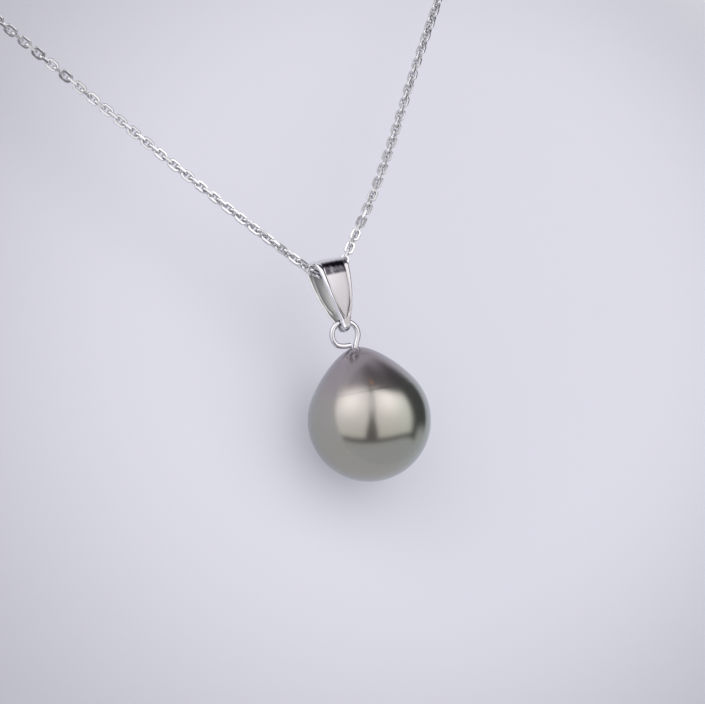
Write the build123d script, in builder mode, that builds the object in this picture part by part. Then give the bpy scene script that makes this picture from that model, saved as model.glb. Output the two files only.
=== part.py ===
from build123d import *
import math
import os

# Drop-pearl pendant necklace: a fine cable chain worn round a neck, a folded tapered bail that
# rides on the chain, a wire eye glued in a half-drilled pearl, and a spring ring clasp at the nape.
# Millimetres, +Z up, -Y the wearer's front, origin in the middle of the neck opening at the height
# of the two side points of the neck.

# ---- driving dimensions -------------------------------------------------------------------------
wire_d = 0.30            # chain link wire
link_flat = 0.25         # link thickness across its two diamond-cut flats
link_side_cut = 0.03     # depth of the facet on each long side
link_clear = 0.04        # play between two linked wires
link_width = 0.99        # outer width of a link
link_play = 8.0          # how far single links lie off the regular quarter turn (degrees)
pitch_target = 0.80      # chain length per link
links_per_node = 16

neck_half_x = 58.0       # side points of the neck
apex = (0.0, -48.0, -87.0)        # lowest point of the chain, inside the bail
nape = (0.0, 58.0, 25.0)          # middle of the clasp
arm_spread_near = 44.0   # arm angle from the front plane's slope line, beside the bail (degrees)
arm_spread_far = 39.0    # the same, further up
arm_settle = 12.0        # length over which the arm straightens
arm_length = 50.0        # hanging part of each arm
chest_slope = 15.6       # the front of the chain leans back with the chest
bail_bend_r = 2.5        # bend radius of the chain in the bail

bail_top_r = 1.25        # outer radius of the folded top
bail_bore_r = 0.90       # inner radius of the folded top
bail_height = 7.05
bail_top_w = 3.4
bail_mid_w = 2.56         # width 2.2 below the fold centre
bail_tip_w = 0.80
bail_tilt = 12.0         # the bail leans back at the top, its rear leaf on the chest
bail_tip_r = 0.60        # outer radius of the closed tip
bail_eye_drop = 4.80     # centre of the bail's fold to the eye's wire
bail_seat_r = 0.40       # seat of the eye's wire inside the tip

eye_wire_d = 0.52
eye_r = 1.25             # centreline radius of the eye's loop
eye_turn = 20.0          # the loop faces a little to the wearer's right
peg_offset = 0.70        # pearl axis beside the loop's centre
peg_d = 0.80
peg_depth = 4.6          # peg length inside the pearl
pearl_hole_d = 0.88
pearl_hole_depth = 5.0
pearl_drop_tilt = 4.0    # the pearl leans forward on the chest
pearl_peak_drop = 2.60   # eye wire to the pearl's peak
pearl_profile = [        # depth below the peak, radius
    (0.05, 0.80), (0.45, 1.45), (1.2, 2.40), (2.0, 3.25), (2.74, 3.92), (3.48, 4.56), (4.3, 5.08),
    (5.4, 5.52), (6.9, 5.75), (8.3, 5.60), (9.6, 5.12), (10.8, 4.28), (11.8, 3.08), (12.45, 1.66),
]
pearl_length = 12.7

ring_r = 2.35            # spring ring clasp, tube centreline radius
ring_tube_d = 1.30
ring_bore_d = 0.86
bolt_d = 0.76
gate_from, gate_to = 105.0, 140.0    # opening in the ring, degrees from the eye
bolt_from, bolt_to = 45.0, 146.0     # closed bolt
bore_from, bore_to = -66.0, 152.0    # hollow part of the ring
slot_from, slot_to = 36.0, 103.0     # slot of the thumb lever
lever_at = 92.0
bolt_travel = 42.0
spring_wire_d = 0.10
spring_coil_r = 0.26
spring_turns = 14
clasp_eye_r = 0.95
clasp_eye_wire_d = 0.42
end_ring_r = 1.15
end_ring_wire_d = 0.40

os.makedirs("parts", exist_ok=True)


# ---- small vector helpers -----------------------------------------------------------------------
def add3(a, b, k=1.0):
    return tuple(p + q * k for p, q in zip(a, b))


def dot3(a, b):
    return sum(p * q for p, q in zip(a, b))


def cross3(a, b):
    return (a[1] * b[2] - a[2] * b[1], a[2] * b[0] - a[0] * b[2], a[0] * b[1] - a[1] * b[0])


def unit3(a):
    n = math.sqrt(dot3(a, a))
    return tuple(p / n for p in a)


def bezier(p0, p1, p2, p3, n=600):
    out = []
    for i in range(n + 1):
        t = i / n
        w = ((1 - t) ** 3, 3 * (1 - t) ** 2 * t, 3 * (1 - t) * t * t, t ** 3)
        out.append(tuple(w[0] * a + w[1] * b + w[2] * c + w[3] * d
                         for a, b, c, d in zip(p0, p1, p2, p3)))
    return out


def lengths(points):
    s = [0.0]
    for a, b in zip(points, points[1:]):
        s.append(s[-1] + math.dist(a, b))
    return s


def stations(points, count):
    """Points at equal spacing along a polyline, count intervals."""
    s = lengths(points)
    out, j = [], 0
    for i in range(count + 1):
        want = s[-1] * i / count
        while j < len(s) - 2 and s[j + 1] < want:
            j += 1
        k = (want - s[j]) / (s[j + 1] - s[j])
        out.append(add3(points[j], tuple(b - a for a, b in zip(points[j], points[j + 1])), k))
    return out


# ---- course of the chain ------------------------------------------------------------------------
slope = math.radians(chest_slope)
up_chest = (0.0, math.sin(slope), math.cos(slope))
side_tangent = unit3((0.0, 0.55, 0.84))


def front_half(sign, sway):
    """Chain course from the bail's middle up one arm to the side of the neck."""
    p, path, ds = apex, [apex], 0.05
    angle, near = 90.0, arm_spread_near
    while angle > near:
        a = math.radians(angle)
        p = add3(p, (sign * math.sin(a), up_chest[1] * math.cos(a), up_chest[2] * math.cos(a)), ds)
        path.append(p)
        angle -= math.degrees(ds / bail_bend_r)
    s = 0.0
    while s < arm_length:
        a = arm_spread_far + (near - arm_spread_far) * math.exp(-s / arm_settle)
        a += sway * math.sin(2 * math.pi * (s + 2.0) / 27.0) * min(1.0, s / 4.0) * math.exp(-s / 40)
        a = math.radians(a)
        d = (sign * math.sin(a), up_chest[1] * math.cos(a), up_chest[2] * math.cos(a))
        p = add3(p, d, ds)
        path.append(p)
        s += ds
    side = (sign * neck_half_x, 0.0, 0.0)
    path += bezier(p, add3(p, d, 24.0), add3(side, side_tangent, -20.0), side)[1:]
    return path


def rear_half(sign, end):
    side = (sign * neck_half_x, 0.0, 0.0)
    return bezier(side, add3(side, side_tangent, 30.0), (sign * 36.0, nape[1], nape[2]), end)


# ---- one chain link -----------------------------------------------------------------------------
row_half = (link_width - wire_d) / 2
link_half = (pitch_target + wire_d + link_clear) / 2
straight_half = link_half - row_half

with BuildPart() as link:
    with BuildLine() as link_course:
        Line((-straight_half, -row_half), (straight_half, -row_half))
        ThreePointArc((straight_half, -row_half), (link_half, 0), (straight_half, row_half))
        Line((straight_half, row_half), (-straight_half, row_half))
        ThreePointArc((-straight_half, row_half), (-link_half, 0), (-straight_half, -row_half))
    with BuildSketch(Plane(origin=(-straight_half, -row_half, 0), x_dir=(0, 1, 0), z_dir=(1, 0, 0))):
        Circle(wire_d / 2)
    sweep(path=link_course.wire())
    split(bisect_by=Plane.XY.offset(link_flat / 2), keep=Keep.BOTTOM)
    split(bisect_by=Plane.XY.offset(-link_flat / 2), keep=Keep.TOP)
    split(bisect_by=Plane.XZ.offset(link_width / 2 - link_side_cut), keep=Keep.BOTTOM)
    split(bisect_by=Plane.XZ.offset(link_side_cut - link_width / 2), keep=Keep.TOP)


def link_planes(joints, first_normal, last_normal=None, half_turns=0):
    """One plane per link: x along the link, z square to its flats, alternate links a quarter turn on."""
    normals, tangents = [], []
    n = first_normal
    for a, b in zip(joints, joints[1:]):
        t = unit3(tuple(q - p for p, q in zip(a, b)))
        n = unit3(add3(n, t, -dot3(n, t)))
        normals.append(n)
        tangents.append(t)
    extra = 0.0
    if last_normal:
        t, n = tangents[-1], normals[-1]
        want = unit3(add3(last_normal, t, -dot3(last_normal, t)))
        extra = math.atan2(dot3(cross3(n, want), t), dot3(n, want)) + half_turns * math.pi
    planes = []
    last = len(tangents) - 1
    for i, (t, n) in enumerate(zip(tangents, normals)):
        roll = extra * i / max(1, last) + (math.pi / 2 if i % 2 else 0.0)
        if 5 < i < last - 5:
            roll += math.radians(link_play) * math.sin(2.399 * i + 1.3 * math.sin(0.37 * i))
        b = cross3(t, n)
        z = tuple(math.cos(roll) * p + math.sin(roll) * q for p, q in zip(n, b))
        mid = tuple((p + q) / 2 for p, q in zip(joints[i], joints[i + 1]))
        planes.append(Plane(origin=mid, x_dir=t, z_dir=z))
    return planes


def chain_node(name, planes):
    with BuildPart() as piece:
        with Locations(*[p.location for p in planes]):
            add(link.part)
    piece.part.label = name
    export_step(piece.part, f"parts/{name}.step")


def write(piece, name):
    piece.part.label = name
    export_step(piece.part, f"parts/{name}.step")


# ---- front chain, left side point to right side point, one link across the bail's middle --------
left_course = front_half(-1, 0.0)
right_course = front_half(1, 2.6)
course = list(reversed(left_course)) + right_course[1:]
front_length = lengths(course)[-1]
front_count = 2 * round((front_length / pitch_target - 1) / 2) + 1
front_planes = link_planes(stations(course, front_count), (1, 0, 0), (1, 0, 0), -1)

middle = front_count // 2
bail_links = 4           # links each side of the middle one that belong to the bail's group
left_arm = front_planes[:middle - bail_links][::-1]
right_arm = front_planes[middle + bail_links + 1:]
chain_node("chain_in_bail", front_planes[middle - bail_links:middle + bail_links + 1])
for side, arm in (("left", left_arm), ("right", right_arm)):
    groups = math.ceil(len(arm) / links_per_node)
    for g in range(groups):
        chain_node(f"front_chain_{side}_{g + 1}",
                   arm[len(arm) * g // groups:len(arm) * (g + 1) // groups])

# ---- rear chain, each side point to its end ring at the clasp -----------------------------------
ring_out = ring_r + ring_tube_d / 2
bite = link_clear + 0.02
clasp_eye_x = ring_out + clasp_eye_r - clasp_eye_wire_d / 2 + 0.05
right_ring_x = (clasp_eye_x + clasp_eye_r - clasp_eye_wire_d / 2 - bite
                - end_ring_wire_d / 2 + end_ring_r)
left_ring_x = -(ring_r - ring_tube_d / 2 - bite - end_ring_wire_d / 2 + end_ring_r)
# the far wire of each end ring carries the last link of its chain
joint_gap = (wire_d + link_clear) / 2
right_end = (right_ring_x + end_ring_r - (end_ring_wire_d + link_clear + wire_d) / 2 + joint_gap,
             nape[1], nape[2])
left_end = (left_ring_x - end_ring_r + (end_ring_wire_d + link_clear + wire_d) / 2 - joint_gap,
            nape[1], nape[2])

rear_links = 0
for side, sign, end in (("left", -1, left_end), ("right", 1, right_end)):
    rear = rear_half(sign, end)
    rear_count = 2 * round((lengths(rear)[-1] / pitch_target - 1) / 2) + 1
    rear_links += rear_count
    # the link at the side point lies flat to the hinge line, so the front link turns on its end
    planes = link_planes(stations(rear, rear_count), unit3(cross3((1, 0, 0), side_tangent)),
                         (0, 1, 0), 1)
    groups = math.ceil(rear_count / links_per_node)
    for g in range(groups):
        chain_node(f"rear_chain_{side}_{g + 1}",
                   planes[rear_count * g // groups:rear_count * (g + 1) // groups])

# ---- bail: one folded strip, closed at the tip --------------------------------------------------
fold = add3(apex, up_chest, 0.30)         # centre of the folded top, and the bail's swing axis
tip_z = bail_top_r - bail_height
tilt = math.radians(bail_tilt)
bail_up = (0.0, math.sin(tilt), math.cos(tilt))
bail_back = (0.0, math.cos(tilt), -math.sin(tilt))
side_plane = Plane(origin=fold, x_dir=bail_back, z_dir=(1, 0, 0))
front_plane = Plane(origin=fold, x_dir=(1, 0, 0), z_dir=tuple(-c for c in bail_back))
mid_z = -2.4
with BuildPart() as bail:
    with BuildSketch(side_plane):
        with BuildLine():
            ThreePointArc((-bail_top_r, 0), (0, bail_top_r), (bail_top_r, 0))
            ThreePointArc((bail_top_r, 0), (1.20, mid_z), (bail_tip_r, tip_z + bail_tip_r))
            ThreePointArc((bail_tip_r, tip_z + bail_tip_r), (0, tip_z), (-bail_tip_r, tip_z + bail_tip_r))
            ThreePointArc((-bail_tip_r, tip_z + bail_tip_r), (-1.20, mid_z), (-bail_top_r, 0))
        make_face()
    extrude(amount=bail_top_w, both=True)
    with BuildSketch(side_plane):
        with BuildLine():
            ThreePointArc((-bail_bore_r, 0), (0, bail_bore_r), (bail_bore_r, 0))
            ThreePointArc((bail_bore_r, 0), (0.86, mid_z), (bail_seat_r, -bail_eye_drop))
            ThreePointArc((bail_seat_r, -bail_eye_drop), (0, -bail_eye_drop - bail_seat_r),
                          (-bail_seat_r, -bail_eye_drop))
            ThreePointArc((-bail_seat_r, -bail_eye_drop), (-0.86, mid_z), (-bail_bore_r, 0))
        make_face()
    extrude(amount=bail_top_w, both=True, mode=Mode.SUBTRACT)
    with BuildSketch(front_plane):
        with BuildLine():
            Line((-bail_top_w / 2, 2.0), (bail_top_w / 2, 2.0))
            Line((bail_top_w / 2, 2.0), (bail_top_w / 2, 0.6))
            ThreePointArc((bail_top_w / 2, 0.6), (bail_mid_w / 2, -2.2), (bail_tip_w / 2, tip_z + 0.45))
            ThreePointArc((bail_tip_w / 2, tip_z + 0.45), (0, tip_z), (-bail_tip_w / 2, tip_z + 0.45))
            ThreePointArc((-bail_tip_w / 2, tip_z + 0.45), (-bail_mid_w / 2, -2.2), (-bail_top_w / 2, 0.6))
            Line((-bail_top_w / 2, 0.6), (-bail_top_w / 2, 2.0))
        make_face()
    extrude(amount=4.0, both=True, mode=Mode.INTERSECT)
write(bail, "bail")

# ---- wire eye with its peg ----------------------------------------------------------------------
eye_top = add3(fold, bail_up, -bail_eye_drop)        # centre of the eye's wire in the bail's tip
lean = math.radians(pearl_drop_tilt)
hang = (0.0, -math.sin(lean), -math.cos(lean))       # down the pearl's axis
rise = tuple(-c for c in hang)
turn = math.radians(eye_turn)
front = cross3((1, 0, 0), rise)                      # square to the pearl's axis, to the front
loop_x = tuple(math.cos(turn) * a + math.sin(turn) * b for a, b in zip((1, 0, 0), front))
eye_centre = add3(eye_top, hang, eye_r)
loop_plane = Plane(origin=eye_centre, x_dir=loop_x, z_dir=cross3(loop_x, rise))
peak = add3(add3(eye_top, hang, pearl_peak_drop), loop_x, peg_offset)
foot = eye_r - pearl_peak_drop                       # height of the peak in the loop's plane
loop_start = (eye_r * math.cos(math.radians(-25)), eye_r * math.sin(math.radians(-25)))
loop_end = (eye_r * math.cos(math.radians(215)), eye_r * math.sin(math.radians(215)))

with BuildPart() as eye_peg:
    # the wire leaves the pearl, rounds the loop and ends curled in beside its own stem
    with BuildLine(loop_plane) as loop_course:
        Bezier((peg_offset, foot - 0.60), (peg_offset, foot + 0.10), (0.92, -1.00), loop_start)
        ThreePointArc(loop_start, (0.0, eye_r), loop_end)
        Bezier(loop_end, (-0.852, -0.963), (-0.20, -1.085), (0.36, -1.07))
    with BuildSketch(Plane(origin=loop_course.line @ 0, x_dir=loop_x, z_dir=loop_course.line % 0)):
        Circle(eye_wire_d / 2)
    sweep(path=loop_course.line)
    with BuildSketch(Plane(origin=add3(peak, hang, 0.45), x_dir=(1, 0, 0), z_dir=hang)):
        Circle(peg_d / 2)
    extrude(amount=peg_depth - 0.45)
write(eye_peg, "eye_peg")

# ---- pearl: a drop, half drilled from its peak --------------------------------------------------
axis_plane = Plane(origin=peak, x_dir=(1, 0, 0), z_dir=cross3((1, 0, 0), rise))
with BuildPart() as pearl:
    with BuildSketch(axis_plane):
        with BuildLine():
            skin = Spline([(0.55, 0.0)] + [(r, -d) for d, r in pearl_profile] + [(0, -pearl_length)],
                          tangents=[(1, -0.15), (-1, 0)])
            Line(skin @ 1, (0, 0))
            Line((0, 0), skin @ 0)
        make_face()
    revolve(axis=Axis(peak, rise), revolution_arc=360)
    with BuildSketch(Plane(origin=add3(peak, rise, 0.5), x_dir=(1, 0, 0), z_dir=hang)):
        Circle(pearl_hole_d / 2)
    extrude(amount=pearl_hole_depth + 0.5, mode=Mode.SUBTRACT)
write(pearl, "pearl")

# ---- spring ring clasp, lying flat on the nape --------------------------------------------------
# local frame: x towards the right-hand chain, y up, z out of the nape
clasp = Plane(origin=nape, x_dir=(1, 0, 0), z_dir=(0, -1, 0))
clasp_axis = Axis(nape, (0, -1, 0))


def radial_plane(angle):
    """Plane across the ring's tube at an angle round the ring, x outward, y along the ring's axis."""
    a = math.radians(angle)
    out = (math.cos(a), 0.0, math.sin(a))
    o = add3(nape, out, ring_r)
    return Plane(origin=o, x_dir=out, z_dir=cross3(out, (0, -1, 0)))


with BuildPart() as ring_body:
    with BuildSketch(radial_plane(gate_to)):
        Circle(ring_tube_d / 2)
    revolve(axis=clasp_axis, revolution_arc=360 - (gate_to - gate_from))
    with BuildSketch(radial_plane(bore_from)):
        Circle(ring_bore_d / 2)
    revolve(axis=clasp_axis, revolution_arc=gate_from - bore_from, mode=Mode.SUBTRACT)
    with BuildSketch(radial_plane(gate_to - 1)):
        Circle(ring_bore_d / 2)
    revolve(axis=clasp_axis, revolution_arc=bore_to - gate_to + 1, mode=Mode.SUBTRACT)
    with BuildSketch(radial_plane(slot_from)):
        with Locations((ring_tube_d / 2, 0)):
            Rectangle(ring_tube_d, 0.52)
    revolve(axis=clasp_axis, revolution_arc=slot_to - slot_from, mode=Mode.SUBTRACT)
    with BuildSketch(Plane(origin=add3(nape, (1, 0, 0), clasp_eye_x + clasp_eye_r),
                           x_dir=(1, 0, 0), z_dir=(0, 0, 1))):
        Circle(clasp_eye_wire_d / 2)
    revolve(axis=Axis(add3(nape, (1, 0, 0), clasp_eye_x), (0, -1, 0)), revolution_arc=360)
write(ring_body, "clasp_ring")

lever_a = math.radians(lever_at)
lever_out = (math.cos(lever_a), 0.0, math.sin(lever_a))
with BuildPart() as bolt:
    with BuildSketch(radial_plane(bolt_from)):
        Circle(bolt_d / 2)
    revolve(axis=clasp_axis, revolution_arc=bolt_to - bolt_from)
    with BuildSketch(Plane(origin=add3(nape, lever_out, ring_r), x_dir=(0, 1, 0), z_dir=lever_out)):
        Circle(0.20)
    extrude(amount=1.35)
    with BuildSketch(Plane(origin=add3(nape, lever_out, ring_r + 1.05), x_dir=(0, 1, 0),
                           z_dir=lever_out)):
        Circle(0.36)
    extrude(amount=0.42)
write(bolt, "clasp_bolt")

spring_from, spring_to = bore_from + 3.0, bolt_from - 3.0
coil_points = []
steps = spring_turns * 12
for i in range(steps + 1):
    a = math.radians(spring_from + (spring_to - spring_from) * i / steps)
    b = 2 * math.pi * i / 12
    out = (math.cos(a), 0.0, math.sin(a))
    coil_points.append(add3(add3(nape, out, ring_r + spring_coil_r * math.cos(b)), (0, 1, 0),
                            spring_coil_r * math.sin(b)))
with BuildPart() as spring:
    with BuildLine() as coil:
        Spline(coil_points)
    with BuildSketch(Plane(origin=coil.line @ 0, z_dir=coil.line % 0)):
        Circle(spring_wire_d / 2)
    sweep(path=coil.line, is_frenet=True)
write(spring, "clasp_spring")

for name, x in (("end_ring_left", left_ring_x), ("end_ring_right", right_ring_x)):
    with BuildPart() as end_ring:
        with BuildSketch(Plane(origin=add3(nape, (1, 0, 0), x + end_ring_r), x_dir=(1, 0, 0),
                               z_dir=(0, 1, 0))):
            Circle(end_ring_wire_d / 2)
        revolve(axis=Axis(add3(nape, (1, 0, 0), x), (0, 0, 1)), revolution_arc=360)
    write(end_ring, name)

total_links = front_count + rear_links
print("fold", fold, "eye_top", eye_top, "peak", peak)
print("front links", front_count, "pitch", front_length / front_count, "rear links", rear_links)
print("chain length mm", round(total_links * pitch_target, 1))
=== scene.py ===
import math

import bpy
from mathutils import Matrix, Vector


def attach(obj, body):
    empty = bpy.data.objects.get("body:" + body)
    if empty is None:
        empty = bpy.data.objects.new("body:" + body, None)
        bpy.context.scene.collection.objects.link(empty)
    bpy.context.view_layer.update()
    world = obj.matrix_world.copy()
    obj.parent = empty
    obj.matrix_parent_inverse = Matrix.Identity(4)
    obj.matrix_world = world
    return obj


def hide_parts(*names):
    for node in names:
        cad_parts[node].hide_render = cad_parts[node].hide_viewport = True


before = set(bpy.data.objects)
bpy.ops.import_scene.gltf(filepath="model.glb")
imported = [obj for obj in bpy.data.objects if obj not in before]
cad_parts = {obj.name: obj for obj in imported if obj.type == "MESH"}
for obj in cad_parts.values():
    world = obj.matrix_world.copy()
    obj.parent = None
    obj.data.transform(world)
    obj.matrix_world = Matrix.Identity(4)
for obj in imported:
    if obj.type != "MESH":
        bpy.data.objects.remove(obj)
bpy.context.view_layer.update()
MM = 0.001

# ------------------------------------------------------------------ shared positions (metres)
ACROSS = Vector((1, 0, 0))                              # from one side of the necklace to the other
FOLD = Vector((0.0, -47.9193, -86.7111)) * MM           # centre of the bail's folded top
BAIL_TILT = math.radians(12.0)
BAIL_UP = Vector((0, math.sin(BAIL_TILT), math.cos(BAIL_TILT)))
BAIL_BACK = Vector((0, math.cos(BAIL_TILT), -math.sin(BAIL_TILT)))
LEAN = math.radians(4.0)
RISE = Vector((0, math.sin(LEAN), math.cos(LEAN)))      # up the pearl's axis
PEAK = Vector((0.6578, -49.3375, -93.9831)) * MM        # the pearl's top, where its drill hole opens

# ------------------------------------------------------------------ camera
VIEW_AZ, VIEW_EL, VIEW_ROLL = math.radians(35.0), math.radians(5.5), math.radians(9.0)
DIST = 0.250                                            # from the point that it looks at
AIM_LEFT, AIM_DOWN = 0.2243 * MM, 0.4299 * MM           # of that point, from the pearl's peak
LENS, SENSOR = 136.596, 36.0                            # mm
AHEAD = Vector((math.sin(VIEW_AZ) * math.cos(VIEW_EL), math.cos(VIEW_AZ) * math.cos(VIEW_EL),
                -math.sin(VIEW_EL)))
LEVEL = Vector((math.cos(VIEW_AZ), -math.sin(VIEW_AZ), 0))
UPRIGHT = LEVEL.cross(AHEAD)
RIGHT = LEVEL * math.cos(VIEW_ROLL) - UPRIGHT * math.sin(VIEW_ROLL)
UP = LEVEL * math.sin(VIEW_ROLL) + UPRIGHT * math.cos(VIEW_ROLL)
TOWARD = -AHEAD


def set_camera():
    data = bpy.data.cameras.new("camera")
    data.sensor_fit = "HORIZONTAL"
    data.sensor_width = SENSOR
    data.lens = LENS
    data.clip_start, data.clip_end = 0.01, 20.0
    place = Matrix.Identity(4)
    for i, v in enumerate((RIGHT, UP, TOWARD)):
        place.col[i][0:3] = v
    place.col[3][0:3] = PEAK - RIGHT * AIM_LEFT - UP * AIM_DOWN + TOWARD * DIST
    cam = bpy.data.objects.new("camera", data)
    bpy.context.scene.collection.objects.link(cam)
    cam.matrix_world = place
    bpy.context.scene.camera = cam


set_camera()
bpy.context.scene.view_settings.view_transform = "Standard"
bpy.context.scene.view_settings.look = "None"
bpy.context.scene.view_settings.exposure = 0.0


# ------------------------------------------------------------------ node helpers
BUMP_DEEP = 0.02 * MM


class Tree:
    """Short names for the shader nodes that the world and the materials are made of."""

    def __init__(self, tree):
        self.t = tree

    def node(self, kind, **props):
        n = self.t.nodes.new(kind)
        for k, v in props.items():
            setattr(n, k, v)
        return n

    def set(self, socket, value):
        if isinstance(value, bpy.types.NodeSocket):
            self.t.links.new(value, socket)
        else:
            socket.default_value = value

    def math(self, op, *args):
        n = self.node("ShaderNodeMath", operation=op)
        for s, a in zip(n.inputs, args):
            self.set(s, a)
        return n.outputs[0]

    def mul(self, a, b):
        return self.math("MULTIPLY", a, b)

    def add(self, a, b):
        return self.math("ADD", a, b)

    def sub(self, a, b):
        return self.math("SUBTRACT", a, b)

    def most(self, a, b):
        return self.math("MAXIMUM", a, b)

    def root(self, a):
        return self.math("SQRT", a)

    def dot(self, a, b):
        n = self.node("ShaderNodeVectorMath", operation="DOT_PRODUCT")
        self.set(n.inputs[0], a)
        self.set(n.inputs[1], b)
        return n.outputs["Value"]

    def step(self, x, a, b, lo=0.0, hi=1.0):
        """A smooth change from lo to hi as x goes from a to b."""
        n = self.node("ShaderNodeMapRange", interpolation_type="SMOOTHSTEP")
        for s, v in zip(n.inputs[:5], (x, a, b, lo, hi)):
            self.set(s, v)
        return n.outputs[0]

    def mix(self, f, a, b):
        n = self.node("ShaderNodeMix", data_type="RGBA")
        self.set(n.inputs[0], f)
        self.set(n.inputs[6], a)
        self.set(n.inputs[7], b)
        return n.outputs[2]

    def scale(self, color, f):
        n = self.node("ShaderNodeVectorMath", operation="SCALE")
        self.set(n.inputs[0], color)
        self.set(n.inputs[3], f)
        return n.outputs[0]

    def noise(self, at, scale, detail=2.0):
        n = self.node("ShaderNodeTexNoise")
        self.set(n.inputs["Vector"], at)
        n.inputs["Scale"].default_value = scale
        n.inputs["Detail"].default_value = detail
        return n

    def bump(self, height, strength):
        n = self.node("ShaderNodeBump")
        n.inputs["Strength"].default_value = strength
        n.inputs["Distance"].default_value = BUMP_DEEP
        self.set(n.inputs["Height"], height)
        return n.outputs[0]


# ------------------------------------------------------------------ studio light as a world
# two tall softboxes in front of the pearl, left and right of the camera, in angles seen from the pearl
world = bpy.data.worlds.new("studio")
bpy.context.scene.world = world
world.use_nodes = True
world.node_tree.nodes.clear()
w = Tree(world.node_tree)
d = w.node("ShaderNodeTexCoord").outputs["Generated"]
X, Y, Z = w.dot(d, tuple(RIGHT)), w.dot(d, tuple(UP)), w.dot(d, tuple(TOWARD))
az = w.mul(w.math("ARCTAN2", X, Z), 180 / math.pi)
el = w.mul(w.math("ARCSINE", Y), 180 / math.pi)


def window(x, a0, a1, b0, b1):
    return w.mul(w.step(x, a0, a1), w.step(x, b0, b1, 1.0, 0.0))


def hot(cx, cy, r):
    """The bright middle of a softbox, cx degrees right of the camera and cy degrees up."""
    dx = w.sub(az, cx)
    dy = w.sub(el, cy)
    return w.step(w.root(w.add(w.mul(dx, dx), w.mul(dy, dy))), 0, r, 1.0, 0.0)


reach = w.add(w.mul(Z, Z), w.mul(w.mul(X, X), 0.22))
flat = w.math("DIVIDE", Y, w.most(w.root(reach), 0.05))      # height on a bowed softbox
tall = window(flat, -0.76, -0.54, 1.22, 2.5)
spread = w.step(el, 8, -34, 0.0, 7.0)                        # the gap between the boxes widens downwards
az_l, az_r = w.add(az, spread), w.sub(az, spread)
box_l = w.mul(w.mul(w.step(az, -102, -58), w.step(az_l, -5, 2, 1.0, 0.0)), tall)
box_r = w.mul(w.mul(w.step(az_r, 6, 14), w.step(az, 76, 96, 1.0, 0.0)), tall)
merge = w.mul(w.mul(window(az, -12, -6, 6, 12), w.step(el, -6, 30)), w.step(el, 48, 66, 0.70, 0.0))
boxes = w.most(w.most(box_l, box_r), merge)
fall = w.step(el, -35, 42, 0.57, 0.86)
gain = w.add(fall, w.mul(w.add(hot(-42, 36, 42), hot(42, 40, 42)), 0.37))

# what is not a softbox: dark room above and right, pale surfaces left, behind and below
left_side = w.step(az, -46, -78, 0.0, 1.0)
far_right = w.step(az, 130, 150, 0.0, 1.0)
below = w.step(flat, -0.80, -1.08, 0.0, 1.0)
below = w.most(below, w.mul(w.step(az, 94, 112), w.step(el, 0, -16)))
cap = w.mul(w.step(Z, 0.12, -0.25), w.step(Y, 0.0, 0.5))
cap = w.mul(cap, w.step(X, 0.08, 0.50, 1.0, 0.0))
over_left = w.mul(w.step(X, 0.10, -0.30, 0.0, 0.55), w.step(el, 44, 62))
cap = w.most(cap, over_left)
room = w.most(w.most(left_side, far_right), w.most(below, cap))
dark = w.mix(w.step(az, 78, 100), (0.122, 0.114, 0.132, 1), (0.052, 0.054, 0.068, 1))
base = w.mix(room, dark, (0.68, 0.68, 0.74, 1))
soft = w.scale((1.88, 1.85, 1.87), gain)
sky = w.mix(boxes, base, soft)

# a small warm lamp high up makes the orange glint on the pearl
lamp_at = (RIGHT * 0.085 + UP * 0.945 + TOWARD * 0.32).normalized()
sky = w.mix(w.step(w.dot(d, tuple(lamp_at)), 0.9990, 0.9998), sky, (1.5, 0.62, 0.22, 1))
path = w.node("ShaderNodeLightPath")
seen = w.mix(path.outputs["Is Camera Ray"], sky, (0.735, 0.735, 0.795, 1))
bg = w.node("ShaderNodeBackground")
w.set(bg.inputs["Color"], seen)
w.set(bg.inputs["Strength"], 1.0)
out = w.node("ShaderNodeOutputWorld")
world.node_tree.links.new(bg.outputs[0], out.inputs["Surface"])


# ------------------------------------------------------------------ materials
def material(name):
    mat = bpy.data.materials.new(name)
    mat.use_nodes = True
    mat.node_tree.nodes.clear()
    t = Tree(mat.node_tree)
    p = t.node("ShaderNodeBsdfPrincipled")
    o = t.node("ShaderNodeOutputMaterial")
    mat.node_tree.links.new(p.outputs[0], o.inputs["Surface"])
    return mat, t, p


def metal(name, color, rough, scratch=0.0, scale=4000.0):
    """A polished metal, with a fine unevenness in its reflections where scratch is given."""
    mat, t, p = material(name)
    p.inputs["Metallic"].default_value = 1.0
    p.inputs["Base Color"].default_value = (*color, 1)
    p.inputs["Roughness"].default_value = rough
    if scratch:
        co = t.node("ShaderNodeTexCoord").outputs["Object"]
        t.set(p.inputs["Normal"], t.bump(t.noise(co, scale, 3.0).outputs[0], scratch))
    return mat


def along(t, co, direction, origin):
    """Millimetres from origin along direction."""
    return t.mul(t.sub(t.dot(co, tuple(direction)), float(direction.dot(origin))), 1000.0)


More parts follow.
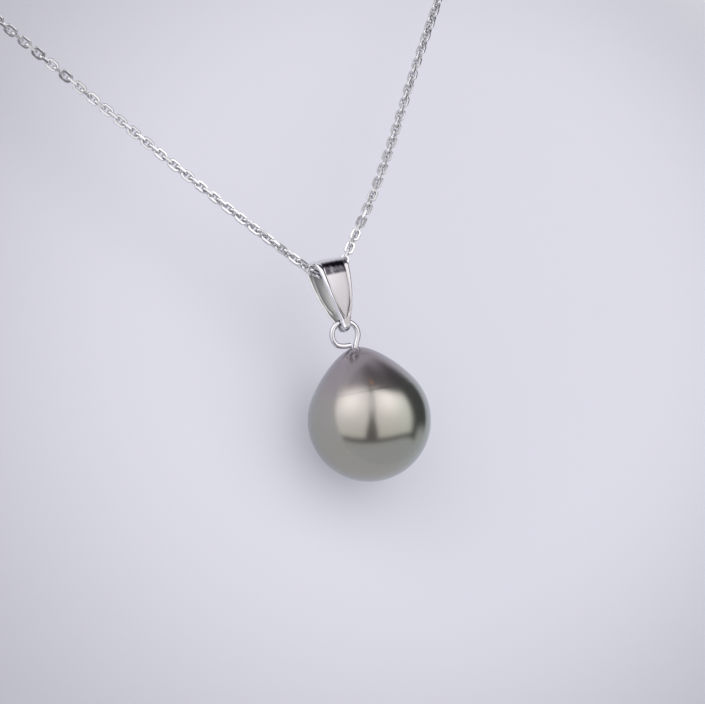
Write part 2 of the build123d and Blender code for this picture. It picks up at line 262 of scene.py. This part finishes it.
def bail_gold():
    """Gold with a painted highlight on its left rim, a painted reflection on top of the fold, a pale inside
    of painted light and a dark, flecked band of painted shade under the fold.
    """
    front_tone = (0.45, 0.435, 0.45)
    front_rough = 0.12
    mat = metal("bail_gold", front_tone, front_rough, 0.10, 3000)
    t = Tree(mat.node_tree)
    p = next(n for n in mat.node_tree.nodes if n.type == "BSDF_PRINCIPLED")
    co = t.node("ShaderNodeTexCoord").outputs["Object"]
    high = along(t, co, BAIL_UP, FOLD)
    deep = along(t, co, BAIL_BACK, FOLD)
    leftward = t.mul(t.dot(co, tuple(ACROSS)), -1000.0)
    wide = t.math("ABSOLUTE", leftward)
    # painted light: the inside of the strip is painted pale; it is also made rougher below
    inside = t.step(deep, 0.05, 0.45)
    tone = t.mix(inside, (*front_tone, 1), (0.92, 0.93, 0.89, 1))
    # painted highlight: the front leaf's left rim is painted pale
    panel_edge = t.sub(1.16, t.mul(t.mul(high, high), 0.036))
    rim = t.mul(t.step(t.sub(leftward, panel_edge), -0.06, 0.08), t.step(deep, 0.0, -0.3))
    tone = t.mix(rim, tone, (0.80, 0.80, 0.84, 1))
    # painted reflection: the top of the fold is painted pale
    tone = t.mix(t.step(high, 0.78, 1.02), tone, (0.80, 0.80, 0.80, 1))
    # painted shade: a dark, flecked band darkens the leaves under the fold
    painted_shade_band = t.mul(t.mul(t.step(high, -0.55, -0.25), t.step(high, 0.85, 0.60)),
                 t.mul(t.step(deep, -0.2, -0.5), t.step(wide, 1.22, 1.06)))
    painted_shade_band = t.mul(painted_shade_band, t.step(t.noise(co, 1300.0).outputs[0], 0.50, 0.72, 1.0, 0.62))
    t.set(p.inputs["Base Color"], t.mix(painted_shade_band, tone, (0.060, 0.056, 0.070, 1)))
    t.set(p.inputs["Roughness"], t.add(front_rough, t.mul(inside, 0.30)))
    return mat


def pearl_nacre():
    """Dark nacre: olive below, greener at its sides, rosy by the peak, with a painted bluish reflection at
    the rim, faintly clouded.
    """
    mat, t, p = material("pearl_nacre")
    co = t.node("ShaderNodeTexCoord").outputs["Object"]
    depth = along(t, co, -RISE, PEAK)
    right_of = along(t, co, RIGHT, PEAK)
    clouds = t.noise(co, 170.0, 4.0)
    clouds.inputs["Roughness"].default_value = 0.5
    cloud = t.step(clouds.outputs[0], 0.35, 0.65)
    body = t.mix(t.step(depth, 5.0, 9.0), (0.375, 0.357, 0.328, 1), (0.358, 0.349, 0.298, 1))
    body = t.mix(t.step(right_of, 2.5, 7.0, 0.0, 0.6), body, (0.320, 0.365, 0.294, 1))
    body = t.mix(t.step(right_of, -1.5, -5.5, 0.0, 0.60), body, (0.352, 0.365, 0.320, 1))
    body = t.mix(t.step(depth, 0.8, 4.8, 1.0, 0.0), body, (0.352, 0.298, 0.326, 1))
    body = t.mix(t.mul(cloud, 0.18), body, (0.320, 0.358, 0.307, 1))
    # painted reflection: where the pearl turns away at its rim its colour is tinted bluish
    rim = t.node("ShaderNodeLayerWeight")
    rim.inputs["Blend"].default_value = 0.28
    body = t.mix(t.step(rim.outputs["Facing"], 0.30, 0.80, 0.0, 0.65), body, (0.255, 0.305, 0.365, 1))
    t.set(p.inputs["Base Color"], body)
    p.inputs["Metallic"].default_value = 0.92
    p.inputs["Roughness"].default_value = 0.20
    p.inputs["Coat Weight"].default_value = 0.25
    p.inputs["Coat Roughness"].default_value = 0.06
    t.set(p.inputs["Normal"], t.bump(t.noise(co, 2600.0).outputs[0], 0.04))
    return mat


chain_mat = metal("chain_gold", (0.66, 0.66, 0.67), 0.24, 0.15, 5000)
bail_mat = bail_gold()
eye_mat = metal("eye_gold", (0.60, 0.59, 0.62), 0.08, 0.06, 4000)
clasp_mat = metal("clasp_gold", (0.47, 0.47, 0.48), 0.14, 0.12, 3000)
spring_mat = metal("spring_steel", (0.40, 0.40, 0.42), 0.25)
pearl_mat = pearl_nacre()

# the first part of a node's name, and its material
PAINTS = (("front_chain", chain_mat), ("rear_chain", chain_mat), ("chain_in_bail", chain_mat),
          ("clasp_ring", clasp_mat), ("clasp_bolt", clasp_mat), ("end_ring", clasp_mat),
          ("clasp_spring", spring_mat), ("eye_peg", eye_mat), ("bail", bail_mat), ("pearl", pearl_mat))
for name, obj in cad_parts.items():
    for start, mat in PAINTS:
        if name.startswith(start):
            obj.data.materials.clear()
            obj.data.materials.append(mat)


# ------------------------------------------------------------------ meshes
def mesh_object(name, verts, faces, mat):
    me = bpy.data.meshes.new(name)
    me.from_pydata([tuple(v) for v in verts], [], faces)
    ob = bpy.data.objects.new(name, me)
    bpy.context.scene.collection.objects.link(ob)
    me.materials.append(mat)
    return ob


def grid_object(name, verts, nu, nv, close_u, mat, extra=()):
    """verts listed as nu closed rows of nv points."""
    faces = []
    for i in range(nu if close_u else nu - 1):
        for j in range(nv):
            here, there = i * nv, ((i + 1) % nu) * nv
            after = (j + 1) % nv
            faces.append((here + j, here + after, there + after, there + j))
    ob = mesh_object(name, verts, faces + list(extra), mat)
    ob.data.validate()
    ob.data.polygons.foreach_set("use_smooth", [True] * len(ob.data.polygons))
    return ob


def bell(x, c, s):
    return math.exp(-((x - c) / s) ** 2)


# ------------------------------------------------------------------ pearl (mm)
BALL_R, BALL_D = 5.75, 6.95                 # the pearl's ball: radius, depth of its middle below the peak
NECK_R, NECK_D = 4.93, 4.0                  # where the cone-like shoulder runs into the ball
HOLE_R, HOLE_LIP = 0.29, 0.30               # drill hole, and its lip
PEARL_LONG = 12.7
PEARL_SEG = 256
CREASE_AT = math.radians(230)               # on the camera's side
CREASE_D, CREASE_LONG = 1.3, 0.75


def bezier(p0, p1, p2, p3, n):
    """n points from p0 towards p3 (p3 left out)."""
    res = []
    for k in range(n):
        q = k / n
        weights = ((1 - q) ** 3, 3 * (1 - q) ** 2 * q, 3 * (1 - q) * q * q, q ** 3)
        res.append(tuple(sum(a * b for a, b in zip(weights, c)) for c in zip(p0, p1, p2, p3)))
    return res


def pearl_profile():
    """(radius, depth below the peak), from inside the drill hole to the bottom."""
    shoulder = bezier((HOLE_LIP, 0.0), (1.70, 0.18), (3.90, 2.28), (NECK_R, NECK_D), 70)
    start = math.atan2(NECK_R, BALL_D - NECK_D)
    steps = 110
    ball = []
    for k in range(steps):
        a = start + (math.pi - start) * k / steps
        ball.append((BALL_R * math.sin(a), BALL_D - BALL_R * math.cos(a)))
    return [(HOLE_R, 0.5), (HOLE_R, 0.12)] + shoulder + ball + [(1e-4, PEARL_LONG)]


def uneven(r, a, dz):
    """The radius with the drop's slight unevenness, and a short crease and low ridge by the hole."""
    if r > HOLE_LIP:
        ang = (a - CREASE_AT + math.pi) % (2 * math.pi) - math.pi
        fade = bell(dz, CREASE_D, CREASE_LONG)
        r -= 0.020 * fade * bell(ang, 0.0, 0.10)
        r += 0.010 * fade * bell(ang, 0.30, 0.12)
    return r * (1 + 0.004 * math.sin(2 * a + 0.7) + 0.0025 * math.sin(3 * a + dz * 0.4))


def pearl_skin():
    front = ACROSS.cross(RISE)              # towards the wearer's front
    rows = pearl_profile()
    verts = []
    for r, dz in rows:
        for k in range(PEARL_SEG):
            a = 2 * math.pi * k / PEARL_SEG
            rr = uneven(r, a, dz)
            verts.append(PEAK + (ACROSS * (rr * math.cos(a)) + front * (rr * math.sin(a)) - RISE * dz) * MM)
    return grid_object("pearl_skin", verts, len(rows), PEARL_SEG, False, pearl_mat,
                       [tuple(range(PEARL_SEG))])


pearl = pearl_skin()
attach(pearl, "pearl_drop")
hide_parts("pearl")

# ------------------------------------------------------------------ bail (mm, heights from the fold's centre)
TIP_AT, TIP_HALF, TIP_LONG = -5.35, 0.40, 0.47          # where the rounded tip begins, and its size
HALF_WIDTHS = ((TIP_AT, TIP_HALF), (-4.6, 0.58), (-3.6, 0.90), (-2.2, 1.25), (-0.8, 1.52), (0.3, 1.68),
               (1.3, 1.72))                             # (height, half width of the strip)
PANEL_HALF_WIDTHS = ((-4.75, 0.0), (-4.05, 0.42), (-3.3, 0.72), (-1.8, 1.00), (0.0, 1.14), (1.3, 1.16))
PANEL_LEAST = 0.02                                      # a narrower panel is none
STRIP_POINTS = 56                                       # across one side of the strip
EDGE_ROUND = 0.085
FLUTE_PITCH, FLUTE_DEEP = 0.56, 0.030
MID_H = -2.4                                            # height of the leaves' middle


def arc3(a, b, c, n):
    """n points from a towards c (c left out) on the circle through a, b, c."""
    (ax, ay), (bx, by), (cx, cy) = a, b, c
    dd = 2 * (ax * (by - cy) + bx * (cy - ay) + cx * (ay - by))
    ux = ((ax * ax + ay * ay) * (by - cy) + (bx * bx + by * by) * (cy - ay)
          + (cx * cx + cy * cy) * (ay - by)) / dd
    uy = ((ax * ax + ay * ay) * (cx - bx) + (bx * bx + by * by) * (ax - cx)
          + (cx * cx + cy * cy) * (bx - ax)) / dd
    r = math.hypot(ax - ux, ay - uy)
    start = math.atan2(ay - uy, ax - ux)
    middle = (math.atan2(by - uy, bx - ux) - start) % (2 * math.pi)
    turn = (math.atan2(cy - uy, cx - ux) - start) % (2 * math.pi)
    if middle > turn:
        turn -= 2 * math.pi
    angles = [start + turn * k / n for k in range(n)]
    return [(ux + r * math.cos(q), uy + r * math.sin(q)) for q in angles]


def loop_of(tip, tip_r, tip_h, mid, top_r):
    """Closed side course (back, up) from the tip up the front leaf, over the fold and down the back."""
    q = tip_r * 0.7071
    return (arc3((0, tip), (-q, tip_h - q), (-tip_r, tip_h), 10)
            + arc3((-tip_r, tip_h), (-mid, MID_H), (-top_r, 0), 54)
            + arc3((-top_r, 0), (0, top_r), (top_r, 0), 44)
            + arc3((top_r, 0), (mid, MID_H), (tip_r, tip_h), 54)
            + arc3((tip_r, tip_h), (q, tip_h - q), (0, tip), 10))


def lerp_table(x, table):
    """The table's value at x, with its corners a little eased."""
    for (x0, y0), (x1, y1) in zip(table, table[1:]):
        if x <= x1 or (x1, y1) == table[-1]:
            k = min(max((x - x0) / (x1 - x0), 0.0), 1.0)
            k = k * k * (3 - 2 * k) * 0.35 + k * 0.65
            return y0 + (y1 - y0) * k


def half_width(h):
    if h < TIP_AT:
        return max(0.14, TIP_HALF * math.sqrt(max(0.0, 1 - ((h - TIP_AT) / TIP_LONG) ** 2)))
    return lerp_table(h, HALF_WIDTHS)


def normal_at(course, k):
    (x0, y0), (x1, y1) = course[k - 1], course[(k + 1) % len(course)]
    return Vector((-(y1 - y0), x1 - x0)).normalized()


def relief(x, h, wid, pan, over):
    """How far the strip's face stands out at x, with its crown, panel, groove, rim and flutes."""
    ax = abs(x)
    has_panel = pan > PANEL_LEAST
    res = -0.03 * (ax / wid) ** 2 * min(1.0, wid / 1.5)
    if has_panel:
        res += 0.045 * max(0.0, 1 - (ax / pan) ** 2) * min(1.0, pan / 0.5)
        cut = (0.010 if x > 0 else 0.045) + 0.04 * min(max(-h - 2.8, 0.0), 1.0)
        res -= cut * bell(ax, pan + 0.05, 0.075) * min(1.0, pan / 0.3)
    rim = (wid + pan + 0.10) / 2 if has_panel else wid * 0.5
    res += 0.035 * bell(ax, rim + 0.06, 0.17) * (1 if has_panel else 0.4)
    if ax < pan:
        # shallow flutes cross the panel where it turns over the fold
        res -= FLUTE_DEEP * bell(over, 0.52, 0.30) * (0.5 + 0.5 * math.cos(2 * math.pi * x / FLUTE_PITCH))
    return res


def bail_strip():
    outer = loop_of(-5.80, 0.60, -5.20, 1.20, 1.25)
    inner = loop_of(-5.20, 0.40, -4.80, 0.86, 0.90)
    verts = []
    for k, (out_b, out_h) in enumerate(outer):
        over = math.atan2(out_h, -out_b) if out_h > -0.3 else -0.3      # angle round the fold
        pan = lerp_table(out_h, PANEL_HALF_WIDTHS)
        for course, way in ((outer, 1), (inner, -1)):
            back, h = course[k]
            nrm = normal_at(course, k)
            wid = half_width(h)
            for j in range(STRIP_POINTS):
                # points crowd towards the edges
                u = -math.cos(math.pi * j / (STRIP_POINTS - 1))
                u = 0.5 * u + 0.5 * (-1 + 2 * j / (STRIP_POINTS - 1))
                x = wid * u * way
                face = relief(x, h, wid, pan, over)
                edge = min(max(0.0, (abs(u) - 0.90) / 0.10), 1.0)
                rounding = EDGE_ROUND * (1 - math.sqrt(max(0.0, 1 - edge ** 2)))
                off = face - rounding if way > 0 else 0.75 * face + rounding * 0.8
                spot = Vector((back, h)) + nrm * off
                verts.append(FOLD + (ACROSS * x + BAIL_BACK * spot.x + BAIL_UP * spot.y) * MM)
    return grid_object("bail_strip", verts, len(outer), 2 * STRIP_POINTS, True, bail_mat)


bail = bail_strip()
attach(bail, "bail")
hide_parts("bail")

# ------------------------------------------------------------------ stage (metres)
# a pale sheet behind the pendant, seen from its front only, and a pale round floor, both fading out
SLOPE = math.radians(15.6)
CHEST_UP = Vector((0, math.sin(SLOPE), math.cos(SLOPE)))
CHEST_BACK = Vector((0, math.cos(SLOPE), -math.sin(SLOPE)))
CHEST = PEAK - RISE * 0.0069 + CHEST_BACK * 0.0060 + CHEST_UP * 0.005
FLOOR = Vector((0, -0.02, -0.180))


def stage_material(name, middle, a_dir, a_solid, b_dir, b_solid, glow, one_sided):
    """Pale and softly glowing, solid within a_solid and b_solid of its middle and fading out past them."""
    mat = bpy.data.materials.new(name)
    mat.use_nodes = True
    mat.node_tree.nodes.clear()
    t = Tree(mat.node_tree)
    p = t.node("ShaderNodeBsdfPrincipled")
    p.inputs["Base Color"].default_value = (0.48, 0.48, 0.52, 1)
    p.inputs["Roughness"].default_value = 0.9
    p.inputs["Specular IOR Level"].default_value = 0.1
    p.inputs["Emission Color"].default_value = (0.68, 0.73, 0.855, 1)
    p.inputs["Emission Strength"].default_value = glow
    co = t.node("ShaderNodeTexCoord").outputs["Object"]
    a = t.math("DIVIDE", t.sub(t.dot(co, tuple(a_dir)), float(a_dir.dot(middle))), a_solid)
    b = t.math("DIVIDE", t.sub(t.dot(co, tuple(b_dir)), float(b_dir.dot(middle))), b_solid)
    keep = t.step(t.root(t.add(t.mul(a, a), t.mul(b, b))), 1.0, 1.32, 1.0, 0.0)
    if one_sided:
        # painted shade: the sheet is darkened gently away from the pendant, for the camera only: reflections
        # see it even
        u = along(t, co, RIGHT, PEAK + RIGHT * 7.0 * MM)
        v = along(t, co, UP, PEAK + UP * 4.4 * MM)
        far = t.root(t.add(t.mul(u, u), t.mul(v, v)))
        straight = t.node("ShaderNodeLightPath").outputs["Is Camera Ray"]
        shade = t.sub(1.0, t.mul(straight, t.sub(1.0, t.step(far, 24.0, 62.0, 1.0, 0.63))))
        t.set(p.inputs["Base Color"], t.scale((0.485, 0.48, 0.52), shade))
        t.set(p.inputs["Emission Color"], t.scale((0.70, 0.73, 0.85), shade))
        keep = t.mul(keep, t.sub(1.0, t.node("ShaderNodeNewGeometry").outputs["Backfacing"]))
    clear = t.node("ShaderNodeBsdfTransparent")
    both = t.node("ShaderNodeMixShader")
    o = t.node("ShaderNodeOutputMaterial")
    t.set(both.inputs[0], keep)
    mat.node_tree.links.new(clear.outputs[0], both.inputs[1])
    mat.node_tree.links.new(p.outputs[0], both.inputs[2])
    mat.node_tree.links.new(both.outputs[0], o.inputs["Surface"])
    return mat


def sheet(name, middle, a_dir, a_half, b_dir, b_half, mat):
    a, b = a_dir * a_half, b_dir * b_half
    corners = [middle - a - b, middle + a - b, middle - a + b, middle + a + b]
    ob = mesh_object(name, corners, [(0, 1, 3, 2)], mat)


chest_mat = stage_material("stage_sheet", CHEST, ACROSS, 0.066, CHEST_UP, 0.052, 0.29, True)
sheet("stage_sheet", CHEST, ACROSS, 0.10, CHEST_UP, 0.08, chest_mat)
BACKWARDS = Vector((0, 1, 0))
floor_mat = stage_material("stage_floor", FLOOR, ACROSS, 0.11, BACKWARDS, 0.11, 0.33, False)
sheet("stage_floor", FLOOR, ACROSS, 0.17, BACKWARDS, 0.17, floor_mat)
